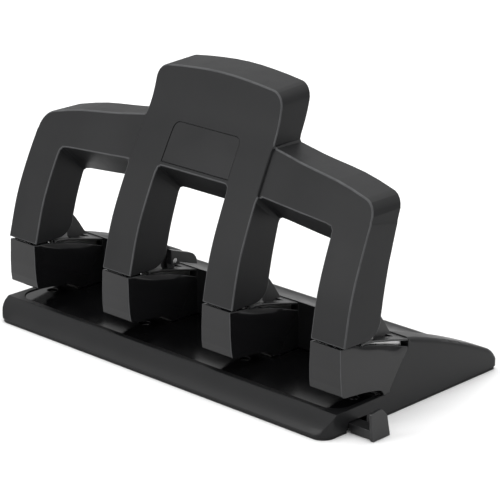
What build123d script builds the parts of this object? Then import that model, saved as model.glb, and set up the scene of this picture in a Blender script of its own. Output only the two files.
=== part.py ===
"""Four-hole desktop punch: one looped handle drives four punch heads on a wedge-shaped base.

Frame: +X along the row of heads, +Y to the rear, +Z up, in millimetres.  The origin is the middle of
the base's plan, on the face that it stands on.  Side-view sizes are given as (depth, height), where
depth is measured rearwards from the front plane of the heads.
"""
import math
import os

from build123d import *

os.makedirs("parts", exist_ok=True)

# ---------------------------------------------------------------- driving dimensions
BASE_LENGTH = 262.0
BASE_DEPTH = 146.0
FRONT_REACH = 12.3  # base in front of the heads' front plane
FRONT = FRONT_REACH - BASE_DEPTH / 2  # y of the heads' front plane
BASE_BACK = BASE_DEPTH - FRONT_REACH  # depth of the base's rear edge

HOLE_PITCH = 80.0  # four-hole filing pattern
HEAD_X = [HOLE_PITCH * step for step in (-1.5, -0.5, 0.5, 1.5)]
HOLE_DEPTH = 22.5  # hole axis behind the heads' front plane
THROAT_END = 34.5  # paper stop, 12 mm behind the hole axis
HOLE_DIAMETER = 5.5

PLATE_HEIGHT = 2.2  # bottom plate thickness
RIM_HEIGHT = 13.2  # front and side rim of the base
TABLE_TOP = 12.6
TABLE_THICKNESS = 1.8
TABLE_BOTTOM = TABLE_TOP - TABLE_THICKNESS
DIE_THICKNESS = 1.8
FLOOR_UNDERSIDE = 7.2
TAIL_FRONT = 54.6  # depth of the tail's front face
TAIL_TOP = 40.6

HEAD_HALF = 11.0
COVER_INNER_HALF = 9.2
CHEEK_OUTER = 7.7
CHEEK_THICKNESS = 1.6
CHEEK_INNER = CHEEK_OUTER - CHEEK_THICKNESS

PIVOT = (22.5, 59.5)  # handle axis (depth, height)
SHAFT_RADIUS = 3.0
SHAFT_PLAY = 0.05
SWING = 46.0  # handle travel in degrees
PUNCH_TRAVEL = 10.5
FOLLOWER_RADIUS = 3.0
FOLLOWER_REST = 17.0  # follower centre below the pivot at rest
CAM_PLAY = 0.3
CAM_HALF = 4.9
CAM_LIFT = PUNCH_TRAVEL / math.radians(SWING)  # mm of punch travel per radian

LEG_HALF = 11.3
LEG_BOTTOM = 50.0
LEG_HEEL_RADIUS = 10.9
HANDLE_TOP = 165.0
HANDLE_WALL = 2.5
COVER_PLAY = 0.12

GUIDE_FRONT = 7.6
GUIDE_WIDTH = 8.4
STOP_INNER = 146.4
STOP_THICKNESS = 2.0


# ---------------------------------------------------------------- helpers
def at(depth, height):
    """Turn a (depth, height) size into the (y, z) that side-view sketches use."""
    return (FRONT + depth, height)


def side_face(points, x=0.0):
    """Straight-sided side-view outline, as a sketch in the plane at x."""
    with BuildSketch(Plane.YZ.offset(x)) as sketch:
        with BuildLine():
            Polyline(*[at(*point) for point in points], close=True)
        make_face()
    return sketch.sketch


def plan_block(x_size, depth_from, depth_to, corner, height_from, height_to, x_middle=0.0):
    """Upright block with rounded plan corners."""
    middle = FRONT + (depth_from + depth_to) / 2
    with BuildPart() as block:
        with BuildSketch(Plane.XY.offset(height_from)):
            with Locations((x_middle, middle)):
                RectangleRounded(x_size, depth_to - depth_from, corner)
        extrude(amount=height_to - height_from)
    return block.part


def along_x(radius, centre, x_from, x_to):
    """Cylinder along X at a (depth, height) centre."""
    with BuildPart() as rod:
        with BuildSketch(Plane.YZ.offset(x_from)):
            with Locations(at(*centre)):
                Circle(radius)
        extrude(amount=x_to - x_from)
    return rod.part


def along_y(radius, x, height, depth_from, depth_to):
    """Cylinder along Y."""
    with BuildPart() as rod:
        with BuildSketch(Plane.XZ.offset(-FRONT - depth_from)):
            with Locations((x, height)):
                Circle(radius)
        extrude(amount=depth_from - depth_to)
    return rod.part


def upright(radius, depth, height_from, height_to, x=0.0):
    """Upright cylinder."""
    with BuildPart() as post:
        with BuildSketch(Plane.XY.offset(height_from)):
            with Locations((x, FRONT + depth)):
                Circle(radius)
        extrude(amount=height_to - height_from)
    return post.part


def save(part, name):
    """Label a finished piece and write its STEP file."""
    part.label = name
    export_step(part, f"parts/{name}.step")


def save_per_head(part, name):
    """Write one copy of a head's piece for each of the four heads."""
    for number, x in enumerate(HEAD_X, start=1):
        save(part.moved(Location((x, 0, 0))), f"{name}_{number}")


# ---------------------------------------------------------------- base
SEAM = [(39.2, 13.0), (40.9, 17.0), (44.0, 21.3), (47.9, 27.0), (51.1, 30.7), (54.2, 35.0)]
FRONT_CORNER = 8.5
REAR_CORNER = 4.0
TAIL_SHOULDER = 3.2
SIDE_WALL = 3.4
TABLE_GAP = 0.5
TABLE_FRONT = 1.5
TABLE_CORNER = 10.5
SCREW_RADIUS = 1.2
SCREW_HEAD_RADIUS = 2.4
SCREW_HEAD_HEIGHT = 1.1
BOSS_RADIUS = 3.5
BASE_SCREWS = [(-70.0, 4.0, 7.5), (42.0, 2.5, 7.5), (-100.0, 90.0, 26.5), (0.0, 90.0, 26.5), (100.0, 90.0, 26.5)]
BASE_SCREW_END = 6.6
FRAME_SCREW_DEPTHS = (40.2, 46.8)
FRAME_SCREW_END = 8.4
FRAME_FOOT_TOP = 13.2


def base_outline(inset, height_from, height_to):
    """Plan shape of the base, with tighter corners at the rear."""
    half = BASE_LENGTH / 2 - inset
    front = -BASE_DEPTH / 2 + inset
    back = BASE_DEPTH / 2 - inset
    with BuildPart() as block:
        with BuildSketch(Plane.XY.offset(height_from)) as plan:
            Rectangle(2 * half, back - front)
            fillet(plan.vertices().group_by(Axis.Y)[0], FRONT_CORNER - inset)
            fillet(plan.vertices().group_by(Axis.Y)[-1], REAR_CORNER - inset)
        extrude(amount=height_to - height_from)
    return block.part


with BuildPart() as base_housing:
    with BuildSketch(Plane.YZ.offset(-BASE_LENGTH / 2)):
        with BuildLine():
            rim = ThreePointArc(at(-FRONT_REACH - 0.3, PLATE_HEIGHT), at(-8.2, 8.7), at(-2.5, RIM_HEIGHT))
            Polyline(rim @ 1, at(TAIL_FRONT, RIM_HEIGHT), at(TAIL_FRONT, TAIL_TOP))
            slope = ThreePointArc(at(TAIL_FRONT, TAIL_TOP), at(90.0, 29.0), at(126.0, 13.6))
            nose = TangentArc(slope @ 1, at(BASE_BACK, 5.0), tangent=slope % 1)
            Polyline(nose @ 1, at(BASE_BACK, PLATE_HEIGHT), rim @ 0)
        make_face()
    extrude(amount=BASE_LENGTH)
    ends = base_housing.faces().filter_by(Axis.X)
    shoulder = ends.edges().filter_by(GeomType.CIRCLE).filter_by(lambda edge: edge.center().Y > 0)
    fillet(shoulder, TAIL_SHOULDER)
    add(base_outline(0.0, 0.0, 60.0), mode=Mode.INTERSECT)
    # rear half of each head's tower, behind the cover's seam
    for x in HEAD_X:
        tower = SEAM + [(54.2, 40.0), (TAIL_FRONT + 1, 40.0), (TAIL_FRONT + 1, 13.0)]
        extrude(side_face(tower, x - HEAD_HALF), amount=2 * HEAD_HALF)
    # hollow underside
    hollow = [(-9.6, 0.0), (-8.4, 4.6), (-6.6, FLOOR_UNDERSIDE), (57.4, FLOOR_UNDERSIDE), (57.4, 36.6),
              (90.0, 26.4), (124.5, 11.6), (BASE_BACK - 3.2, 5.4), (BASE_BACK - 3.2, 0.0)]
    cavity_half = BASE_LENGTH / 2 - SIDE_WALL
    extrude(side_face(hollow, -cavity_half), amount=2 * cavity_half, mode=Mode.SUBTRACT)
    # pocket for the paper table, open to the tail's front face
    table_half = cavity_half
    add(plan_block(2 * table_half, TABLE_FRONT - TABLE_GAP, TAIL_FRONT + 14, TABLE_CORNER + TABLE_GAP,
                   TABLE_BOTTOM, TABLE_TOP + 0.8), mode=Mode.SUBTRACT)
    for x in HEAD_X:
        # inside of the tower
        inside = [(30.0, TABLE_BOTTOM), (TAIL_FRONT - 0.4, TABLE_BOTTOM), (TAIL_FRONT - 0.4, 60.0), (30.0, 60.0)]
        extrude(side_face(inside, x - COVER_INNER_HALF), amount=2 * COVER_INNER_HALF, mode=Mode.SUBTRACT)
        add(upright(6.0, HOLE_DEPTH, FLOOR_UNDERSIDE - 1, TABLE_BOTTOM, x), mode=Mode.SUBTRACT)
    # recess for the die plate
    add(plan_block(253.0, 12.8, 32.2, 1.0, TABLE_BOTTOM - DIE_THICKNESS, TABLE_BOTTOM), mode=Mode.SUBTRACT)
    # slot for the paper guide in the right end
    slot = [(6.2, PLATE_HEIGHT - 1), (21.4, PLATE_HEIGHT - 1), (21.4, 6.2), (6.2, 6.2)]
    extrude(side_face(slot, cavity_half - 1), amount=SIDE_WALL + 2, mode=Mode.SUBTRACT)
    # rails beside the paper guide
    for rail_depth in (6.2, GUIDE_FRONT + GUIDE_WIDTH + 0.3):
        rail = [(rail_depth, 2.6), (rail_depth + 1.1, 2.6), (rail_depth + 1.1, 7.4), (rail_depth, 7.4)]
        extrude(side_face(rail, 58.0), amount=cavity_half - 59.0)
    # screw bosses for the bottom plate, and bores for the heads' screws
    for x, depth, boss_top in BASE_SCREWS:
        add(upright(BOSS_RADIUS, depth, PLATE_HEIGHT, boss_top, x))
        add(upright(SCREW_RADIUS, depth, 0.0, BASE_SCREW_END, x), mode=Mode.SUBTRACT)
    for x in HEAD_X:
        for depth in FRAME_SCREW_DEPTHS:
            add(upright(SCREW_RADIUS, depth, FRAME_SCREW_END, TABLE_BOTTOM + 1, x), mode=Mode.SUBTRACT)
save(base_housing.part, "base_housing")

# ---------------------------------------------------------------- bottom plate, feet and chip tray
PLATE_INSET = 0.8
TRAY_HALF = 126.6
TRAY_FRONT = 17.6
TRAY_BACK = 50.3
TRAY_GAP = 0.4
TRAY_WALL = 1.2
TRAY_RIM = 0.6
TRAY_SEAM = 0.05
TRAY_FLOOR = 1.8
TRAY_HEIGHT = 6.4
TRAY_HINGE = (49.0, 1.05)
TRUNNION_RADIUS = 0.7
FOOT_RADIUS = 7.0
FOOT_THICKNESS = 1.2
FOOT_PLACES = [(-112.0, 4.0), (0.0, 1.0), (92.0, 2.0), (-112.0, 118.0), (0.0, 122.0), (112.0, 118.0)]

with BuildPart() as bottom_plate:
    add(base_outline(PLATE_INSET, 0.0, PLATE_HEIGHT))
    tray_opening = plan_block(2 * TRAY_HALF, TRAY_FRONT, TRAY_BACK, 2.0, 0.0, PLATE_HEIGHT)
    add(tray_opening, mode=Mode.SUBTRACT)
    add(plan_block(20.0, 6.2, 16.8, 0.5, 0.0, PLATE_HEIGHT, BASE_LENGTH / 2 - 8.0), mode=Mode.SUBTRACT)
    hinge_bore = along_x(TRUNNION_RADIUS + 0.05, TRAY_HINGE, -TRAY_HALF - 2.2, TRAY_HALF + 2.2)
    add(hinge_bore, mode=Mode.SUBTRACT)
    for x, depth in FOOT_PLACES:
        add(upright(FOOT_RADIUS, depth, 0.0, FOOT_THICKNESS, x), mode=Mode.SUBTRACT)
    for x, depth, boss_top in BASE_SCREWS:
        add(upright(SCREW_RADIUS + 0.1, depth, 0.0, PLATE_HEIGHT, x), mode=Mode.SUBTRACT)
        add(upright(SCREW_HEAD_RADIUS + 0.2, depth, 0.0, PLATE_HEIGHT - 0.8, x), mode=Mode.SUBTRACT)
save(bottom_plate.part, "bottom_plate")

with BuildPart() as base_screws:
    for x, depth, boss_top in BASE_SCREWS:
        head_top = PLATE_HEIGHT - 0.8
        add(upright(SCREW_HEAD_RADIUS, depth, head_top - SCREW_HEAD_HEIGHT, head_top, x))
        add(upright(SCREW_RADIUS, depth, head_top, BASE_SCREW_END - 0.4, x))
save(base_screws.part, "base_screws")

with BuildPart() as rubber_feet:
    for x, depth in FOOT_PLACES:
        add(upright(FOOT_RADIUS - 0.1, depth, 0.0, FOOT_THICKNESS, x))
save(rubber_feet.part, "rubber_feet")

with BuildPart() as chip_tray:
    add(plan_block(2 * (TRAY_HALF - TRAY_GAP), TRAY_FRONT + TRAY_GAP, TRAY_BACK - 0.7, 1.6, 0.3, TRAY_FLOOR))
    for side in (-1, 1):
        ends = sorted((side * (TRAY_HALF - 1.0), side * (TRAY_HALF + 1.8)))
        add(along_x(TRUNNION_RADIUS, TRAY_HINGE, *ends))
save(chip_tray.part, "chip_tray")

with BuildPart() as tray_wall:
    # front and rear walls over the whole length, end walls between them with a hairline seam
    wall_front = TRAY_FRONT + TRAY_RIM
    wall_back = TRAY_BACK - 3.0
    wall_half = TRAY_HALF - 2 * TRAY_RIM
    for near in (wall_front, wall_back - TRAY_WALL):
        add(plan_block(2 * wall_half, near, near + TRAY_WALL, 0.3, TRAY_FLOOR, TRAY_HEIGHT))
    end_front = wall_front + TRAY_WALL + TRAY_SEAM
    end_back = wall_back - TRAY_WALL - TRAY_SEAM
    for middle in (-wall_half + TRAY_WALL / 2, wall_half - TRAY_WALL / 2):
        add(plan_block(TRAY_WALL, end_front, end_back, 0.3, TRAY_FLOOR, TRAY_HEIGHT, middle))
save(tray_wall.part, "tray_wall")

# ---------------------------------------------------------------- paper table and die plate
with BuildPart() as paper_table:
    add(plan_block(2 * (table_half - TABLE_GAP), TABLE_FRONT, TAIL_FRONT + 12, TABLE_CORNER, TABLE_BOTTOM, TABLE_TOP))
    with BuildSketch(Plane.XY.offset(TABLE_BOTTOM)):
        with Locations((0, FRONT + TAIL_FRONT + 19.6)):
            Rectangle(BASE_LENGTH, 40.0)
        for x in HEAD_X:
            with Locations((x, FRONT + 48.9)):
                Rectangle(2 * HEAD_HALF + 0.8, 20.0)
            with Locations((x, FRONT + 45.0)):
                Rectangle(2 * CHEEK_OUTER + 0.8, 20.0)
            with Locations((x, FRONT + HOLE_DEPTH)):
                Circle(HOLE_DIAMETER / 2 + 0.5)
    extrude(amount=TABLE_THICKNESS, mode=Mode.SUBTRACT)
save(paper_table.part, "paper_table")

with BuildPart() as die_plate:
    add(plan_block(252.4, 13.1, 31.9, 0.8, TABLE_BOTTOM - DIE_THICKNESS, TABLE_BOTTOM))
    for x in HEAD_X:
        add(upright(HOLE_DIAMETER / 2 + 0.06, HOLE_DEPTH, 8.0, 12.0, x), mode=Mode.SUBTRACT)
save(die_plate.part, "die_plate")

# ---------------------------------------------------------------- punch heads
GUIDE_BOTTOM = 21.8
GUIDE_TOP = 27.0
SPRING_SEAT = 24.0
PIN_TIP = 20.6
COVER_TOP = [(0.0, 48.5), (15.3, 46.5), (31.4, 42.6), (54.0, 35.6)]
DECK_TOP = [(16.4, 47.6), (20.6, 47.5), (27.0, 46.6), (41.0, 43.4), (TAIL_FRONT - 0.5, 40.2)]
DECK_THICKNESS = 1.2

with BuildPart() as head_cover:
    with BuildSketch(Plane.YZ.offset(-HEAD_HALF)):
        with BuildLine():
            top = Polyline(*[at(*point) for point in COVER_TOP], at(*SEAM[-1]))
            seam = Polyline(*[at(*point) for point in reversed(SEAM[1:])], at(39.25, RIM_HEIGHT + 0.2))
            tongue = Polyline(seam @ 1, at(THROAT_END, RIM_HEIGHT + 0.2), at(THROAT_END, 14.2))
            roof = Spline(tongue @ 1, at(31.5, 16.9), at(23.8, 18.8), at(12.6, 20.3), at(0.9, 21.7))
            front = ThreePointArc(roof @ 1, at(-0.25, 35.0), top @ 0)
        make_face()
    extrude(amount=2 * HEAD_HALF)
    top_edges = head_cover.edges().filter_by(lambda edge: abs(abs(edge.center().X) - HEAD_HALF) < 0.01)
    top_edges = top_edges.filter_by(lambda edge: edge.center().Z > 37.0 and edge.center().Y > FRONT + 1)
    chamfer(top_edges, 1.2, 0.6)
    room = [(2.0, 60.0), (2.0, 23.0), (12.6, 21.8), (24.0, 20.3), (31.5, 18.4), (35.6, 15.6), (35.6, 10.0),
            (60.0, 10.0), (60.0, 60.0)]
    extrude(side_face(room, -COVER_INNER_HALF), amount=2 * COVER_INNER_HALF, mode=Mode.SUBTRACT)
    add(upright(HOLE_DIAMETER / 2 + 0.6, HOLE_DEPTH, 12.0, 24.0), mode=Mode.SUBTRACT)
save_per_head(head_cover.part, "head_cover")

with BuildPart() as punch_frame:
    deck_under = [(depth, height - DECK_THICKNESS) for depth, height in DECK_TOP]
    cheek = [(14.0, GUIDE_BOTTOM), (35.9, GUIDE_BOTTOM), (35.9, TABLE_BOTTOM), (52.0, TABLE_BOTTOM), (52.0, 39.3),
             (41.0, 41.9), (30.6, 44.3), (28.5, 47.5), (28.5, PIVOT[1]), (16.5, PIVOT[1]), (16.5, 44.0), (14.0, 42.0)]
    extrude(side_face(cheek, -CHEEK_OUTER), amount=2 * CHEEK_OUTER)
    add(along_x(6.0, PIVOT, -CHEEK_OUTER, CHEEK_OUTER))
    gap = [(10.0, GUIDE_TOP), (33.5, GUIDE_TOP), (33.5, 31.0), (49.8, 31.0), (49.8, 70.0), (10.0, 70.0)]
    extrude(side_face(gap, -CHEEK_INNER), amount=2 * CHEEK_INNER, mode=Mode.SUBTRACT)
    lower_gap = [(37.5, FRAME_FOOT_TOP), (49.8, FRAME_FOOT_TOP), (49.8, 31.1), (37.5, 31.1)]
    extrude(side_face(lower_gap, -CHEEK_INNER), amount=2 * CHEEK_INNER, mode=Mode.SUBTRACT)
    add(upright(HOLE_DIAMETER / 2 + 0.05, HOLE_DEPTH, 10.0, 40.0), mode=Mode.SUBTRACT)
    add(upright(4.5, HOLE_DEPTH, SPRING_SEAT, 40.0), mode=Mode.SUBTRACT)
    add(along_x(SHAFT_RADIUS, PIVOT, -20.0, 20.0), mode=Mode.SUBTRACT)
    for depth in FRAME_SCREW_DEPTHS:
        add(upright(SCREW_RADIUS + 0.1, depth, 10.0, 15.0), mode=Mode.SUBTRACT)
save_per_head(punch_frame.part, "punch_frame")

with BuildPart() as frame_screws:
    for x in HEAD_X:
        for depth in FRAME_SCREW_DEPTHS:
            add(upright(SCREW_HEAD_RADIUS, depth, FRAME_FOOT_TOP, FRAME_FOOT_TOP + SCREW_HEAD_HEIGHT, x))
            add(upright(SCREW_RADIUS, depth, FRAME_SCREW_END + 0.2, FRAME_FOOT_TOP, x))
save(frame_screws.part, "frame_screws")

with BuildPart() as pivot_shaft:
    add(along_x(SHAFT_RADIUS, PIVOT, -CHEEK_OUTER - 0.2, CHEEK_OUTER + 0.2))
save_per_head(pivot_shaft.part, "pivot_shaft")

FOLLOWER_Z = PIVOT[1] - FOLLOWER_REST
CAP_TOP = FOLLOWER_Z - 1.6
CAP_BOTTOM = CAP_TOP - 1.3
CAP_RADIUS = 4.0

with BuildPart() as punch_pin:
    add(upright(HOLE_DIAMETER / 2, HOLE_DEPTH, PIN_TIP, CAP_BOTTOM))
    # V-shaped cutting edge across the tip
    with BuildSketch(Plane.YZ.offset(-5.0)):
        with BuildLine():
            notch = [(HOLE_DEPTH - 4.0, PIN_TIP - 1.6), (HOLE_DEPTH, PIN_TIP + 1.2), (HOLE_DEPTH + 4.0, PIN_TIP - 1.6)]
            Polyline(*[at(*point) for point in notch], close=True)
        make_face()
    extrude(amount=10.0, mode=Mode.SUBTRACT)
save_per_head(punch_pin.part, "punch_pin")

with BuildPart() as punch_cap:
    with BuildSketch(Plane.YZ):
        with BuildLine():
            axis_line = Polyline(at(HOLE_DEPTH, FOLLOWER_Z + FOLLOWER_RADIUS), at(HOLE_DEPTH, CAP_BOTTOM))
            base_line = Polyline(axis_line @ 1, at(HOLE_DEPTH + CAP_RADIUS, CAP_BOTTOM),
                                 at(HOLE_DEPTH + CAP_RADIUS, CAP_TOP),
                                 at(HOLE_DEPTH + FOLLOWER_RADIUS, CAP_TOP),
                                 at(HOLE_DEPTH + FOLLOWER_RADIUS, FOLLOWER_Z))
            RadiusArc(base_line @ 1, axis_line @ 0, -FOLLOWER_RADIUS)
        make_face()
    revolve(axis=Axis((0, FRONT + HOLE_DEPTH, 0), (0, 0, 1)))
save_per_head(punch_cap.part, "punch_cap")

SPRING_WIRE = 0.35
SPRING_RADIUS = 3.5
SPRING_TURNS = 5
with BuildPart() as punch_spring:
    spring_base = Plane((0, FRONT + HOLE_DEPTH, SPRING_SEAT + SPRING_WIRE))
    spring_rise = CAP_BOTTOM - SPRING_SEAT - 2 * SPRING_WIRE
    with BuildLine(spring_base):
        coil = Helix(pitch=spring_rise / SPRING_TURNS, height=spring_rise, radius=SPRING_RADIUS)
    with BuildSketch(Plane(coil @ 0, z_dir=coil % 0)):
        Circle(SPRING_WIRE)
    sweep(is_frenet=True)
save_per_head(punch_spring.part, "punch_spring")

# ---------------------------------------------------------------- deck caps
CHEEK_SLOT_HALF = 8.4
CAM_SLOT_HALF = 5.2
with BuildPart() as deck_cap:
    deck = DECK_TOP + list(reversed(deck_under))
    extrude(side_face(deck, -HEAD_HALF + 0.1), amount=2 * (HEAD_HALF - 0.1))
    add(plan_block(2 * CHEEK_SLOT_HALF, 12.0, 31.4, 1.0, 30.0, 60.0), mode=Mode.SUBTRACT)
    add(plan_block(2 * CAM_SLOT_HALF, 20.0, 48.6, 1.0, 30.0, 60.0), mode=Mode.SUBTRACT)
for number, x in enumerate(HEAD_X, start=1):
    if number != 2:
        save(deck_cap.part.moved(Location((x, 0, 0))), f"deck_cap_{number}")

# ---------------------------------------------------------------- lock lever on the second head
LOCK_PIVOT = (37.2, 49.6)
LOCK_X = HEAD_X[1] + 5.3
EAR_THICKNESS = 1.4
LEVER_GAP = 0.3
LEVER_THICKNESS = 3.6
LOCK_PIN_RADIUS = 1.4

with BuildPart() as deck_cap_2:
    add(deck_cap.part.moved(Location((HEAD_X[1], 0, 0))))
    ear = [(34.6, 44.2), (40.0, 43.0), (39.8, 49.6), (34.6, 49.6)]
    extrude(side_face(ear, LOCK_X), amount=EAR_THICKNESS)
    add(along_x(2.6, LOCK_PIVOT, LOCK_X, LOCK_X + EAR_THICKNESS))
    add(along_x(LOCK_PIN_RADIUS, LOCK_PIVOT, LOCK_X - 1, LOCK_X + 3), mode=Mode.SUBTRACT)
save(deck_cap_2.part, "deck_cap_2")

lever_x = LOCK_X + EAR_THICKNESS + LEVER_GAP
with BuildPart() as lock_lever:
    with BuildSketch(Plane.YZ.offset(lever_x)):
        with BuildLine():
            Polyline(at(34.6, 47.6), at(34.4, 56.6), at(49.4, 51.4))
            ThreePointArc(at(49.4, 51.4), at(53.2, 49.0), at(54.9, 45.2))
            Polyline(at(54.9, 45.2), at(54.9, 43.3), at(41.0, 47.8), at(34.6, 47.6))
        make_face()
    extrude(amount=LEVER_THICKNESS)
    add(along_x(LOCK_PIN_RADIUS + SHAFT_PLAY, LOCK_PIVOT, LOCK_X, LOCK_X + 10), mode=Mode.SUBTRACT)
save(lock_lever.part, "lock_lever")

with BuildPart() as lock_pin:
    add(along_x(LOCK_PIN_RADIUS, LOCK_PIVOT, LOCK_X, lever_x + LEVER_THICKNESS))
save(lock_pin.part, "lock_pin")

# ---------------------------------------------------------------- handle
FRONT_CURVE = [(1.0, 50.0), (7.2, 75.0), (17.0, 99.0), (29.0, 123.0), (39.4, 143.0), (45.4, HANDLE_TOP + 2)]
REAR_CURVE = [(30.4, 60.0), (33.9, 74.0), (39.7, 92.0), (46.0, 111.0), (55.5, 131.5), (62.6, 148.0),
              (67.0, HANDLE_TOP + 2)]
HEEL_CENTRE = (19.5, 60.0)
CENTRE_HALF = 49.0
LOOP_CORNER = 8.0
REAR_COVER_START = 69.0


def curve_points(curve, shift):
    """Curve points moved rearwards by shift."""
    return [at(depth + shift, height) for depth, height in curve]


def window_face(half_from, half_to, top_from, top_to, grow):
    """Front-view outline of the gap between two legs, larger all round by grow.

    It is drawn well in front of the legs, and swept back and down along the ceiling's slope.
    """
    rise = (20.0 + CEILING_DEPTH) * CEILING_SLOPE + grow * 1.4
    low = -40.0
    with BuildSketch(Plane.XZ.offset(-FRONT + 20.0)) as sketch:
        with BuildLine():
            top = Polyline((half_from[1] - grow, top_from + rise), (half_to[1] + grow, top_to + rise))
            lean_from = (half_from[0] - half_from[1]) / (top_from - LEG_BOTTOM)
            lean_to = (half_to[0] - half_to[1]) / (top_to - LEG_BOTTOM)
            fall = top_from + rise - low
            Polyline(top @ 1, (half_to[1] + grow + lean_to * fall, low),
                     (half_from[1] - grow + lean_from * fall, low), top @ 0)
        make_face()
    return sketch.sketch


CEILING_DEPTH = 21.5  # depth of the front edge of a window's ceiling
CEILING_SLOPE = 0.95
# for each window: left side and right side as (x at the leg's foot, x at the ceiling), then ceiling heights
WINDOWS = [((-108.7, -106.4), (-51.3, -50.2), 104.6, 111.0),
           ((-28.7, -27.5), (28.7, 27.5), 112.0, 112.0),
           ((51.3, 50.2), (108.7, 106.4), 111.0, 104.6)]


def handle_solid(inset, rear_shift):
    """Looped lever: side profile crossed with the front view, less the three windows."""
    with BuildPart() as solid:
        with BuildSketch(Plane.YZ.offset(-140.0)):
            with BuildLine():
                front_points = curve_points(FRONT_CURVE, inset)
                rear_points = curve_points(REAR_CURVE, rear_shift)
                front = Spline(*front_points)
                rear = Spline(*rear_points)
                Line(front @ 1, rear @ 1)
                if inset == 0:
                    heel_low = at(HEEL_CENTRE[0], HEEL_CENTRE[1] - LEG_HEEL_RADIUS)
                    heel_side = (FRONT + HEEL_CENTRE[0] + 7.7, HEEL_CENTRE[1] - 7.7)
                    heel = ThreePointArc(rear @ 0, heel_side, heel_low)
                    Polyline(heel @ 1, at(13.0, 49.1), front @ 0)
                else:
                    Polyline(rear @ 0, (rear @ 0) - Vector(0, 30), (front @ 0) - Vector(0, 30), front @ 0)
            make_face()
        extrude(amount=280.0)
        outer = LEG_HALF + HEAD_X[3] - inset
        with BuildSketch(Plane.XZ.offset(100.0)) as front_view:
            with BuildLine():
                right = Polyline((0, 20), (outer, 20), (outer, LEG_BOTTOM), (outer - 2.8, 122.6 - inset),
                                 (CENTRE_HALF - inset, 134.0 - inset), (CENTRE_HALF - inset, HANDLE_TOP - 4 - inset),
                                 (0, HANDLE_TOP - inset), (0, 20))
            make_face()
            corners = front_view.vertices().filter_by(lambda v: v.X > 45 and v.Y > 110)
            corners = corners.filter_by(lambda v: v.X > 100 or v.Y > 150)
            fillet(corners, LOOP_CORNER - inset)
            mirror(about=Plane.YZ)
        extrude(amount=-300.0, mode=Mode.INTERSECT)
        for window in WINDOWS:
            face = window_face(*window, inset)
            extrude(face, amount=260.0, dir=(0, 1, -CEILING_SLOPE), mode=Mode.SUBTRACT)
    return solid.part


def handle_strip(curve, shift_from, shift_to, half, height_from, height_to):
    """Sheet that follows the handle's front or rear curve, between two depths behind it."""
    with BuildPart() as strip:
        with BuildSketch(Plane.YZ.offset(-half)):
            with BuildLine():
                near = Spline(*curve_points(curve, shift_from))
                far = Spline(*curve_points(curve, shift_to))
                Line(near @ 0, far @ 0)
                Line(near @ 1, far @ 1)
            make_face()
        extrude(amount=2 * half)
        middle = (height_from + height_to) / 2
        with Locations((0, 0, middle)):
            Box(2 * half, 400, height_to - height_from, mode=Mode.INTERSECT)
    return strip.part


def label_outline(inset):
    """Front-view block of the blank label, with rounded top corners."""
    with BuildPart() as block:
        with BuildSketch(Plane.XZ.offset(100.0)) as outline:
            with Locations((0, LABEL_MIDDLE)):
                Rectangle(2 * (LABEL_HALF - inset), LABEL_HEIGHT - 2 * inset)
            fillet(outline.vertices().group_by(Axis.Z)[-1], 4.0)
        extrude(amount=-200.0)
    return block.part


LABEL_HALF = 25.6
LABEL_HEIGHT = 21.4
LABEL_MIDDLE = 123.4
LABEL_THICKNESS = 0.8
REAR_COVER_THICKNESS = 2.4
REAR_COVER_RECESS = 0.6
COVER_SCREWS = [(-40.0, 152.0), (40.0, 152.0), (-117.0, 112.0), (117.0, 112.0), (-60.0, 122.0), (60.0, 122.0)]
COVER_SCREW_SINK = 1.6
COVER_SCREW_LENGTH = 12.0
CAM_SCREW_HEIGHT = 82.0
CAM_SCREW_END = 11.6

outer_handle = handle_solid(0.0, 0.0)
handle_room = handle_solid(HANDLE_WALL, 12.0)
cover_room = handle_solid(HANDLE_WALL + COVER_PLAY, 12.0)


def rear_depth(height):
    """Depth of the handle's rear curve at a height."""
    for low, high in zip(REAR_CURVE, REAR_CURVE[1:]):
        if low[1] <= height <= high[1]:
            return low[0] + (high[0] - low[0]) * (height - low[1]) / (high[1] - low[1])
    return REAR_CURVE[-1][0]


def at_cover_screws(radius, behind_from, behind_to):
    """Rods along Y at the rear cover's screws, between two distances behind the rear curve."""
    with BuildPart() as rods:
        for x, height in COVER_SCREWS:
            add(along_y(radius, x, height, rear_depth(height) + behind_from, rear_depth(height) + behind_to))
    return rods.part


with BuildPart() as handle_shell:
    add(outer_handle)
    add(handle_room, mode=Mode.SUBTRACT)
    # posts for the rear cover's screws, standing on the front wall
    with BuildPart(mode=Mode.PRIVATE) as posts:
        add(at_cover_screws(3.4, -28.0, 20.0))
        add(handle_strip(REAR_CURVE, -60.0, -REAR_COVER_RECESS - REAR_COVER_THICKNESS, 140.0, 62.0, HANDLE_TOP),
            mode=Mode.INTERSECT)
        add(outer_handle, mode=Mode.INTERSECT)
        add(at_cover_screws(SCREW_RADIUS, -COVER_SCREW_LENGTH - 1.0, 20.0), mode=Mode.SUBTRACT)
    add(posts.part)
    for x in HEAD_X:
        add(along_y(SCREW_RADIUS, x, CAM_SCREW_HEIGHT, CAM_SCREW_END, 30.0), mode=Mode.SUBTRACT)
    with BuildPart(mode=Mode.PRIVATE) as recess:
        add(label_outline(0.0))
        add(handle_strip(FRONT_CURVE, -10.0, LABEL_THICKNESS, 60.0, 80.0, 150.0), mode=Mode.INTERSECT)
    add(recess.part, mode=Mode.SUBTRACT)
save(handle_shell.part, "handle_shell")

with BuildPart() as label_plate:
    add(label_outline(0.15))
    add(handle_strip(FRONT_CURVE, 0.1, LABEL_THICKNESS, 60.0, 80.0, 150.0), mode=Mode.INTERSECT)
save(label_plate.part, "label_plate")

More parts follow.
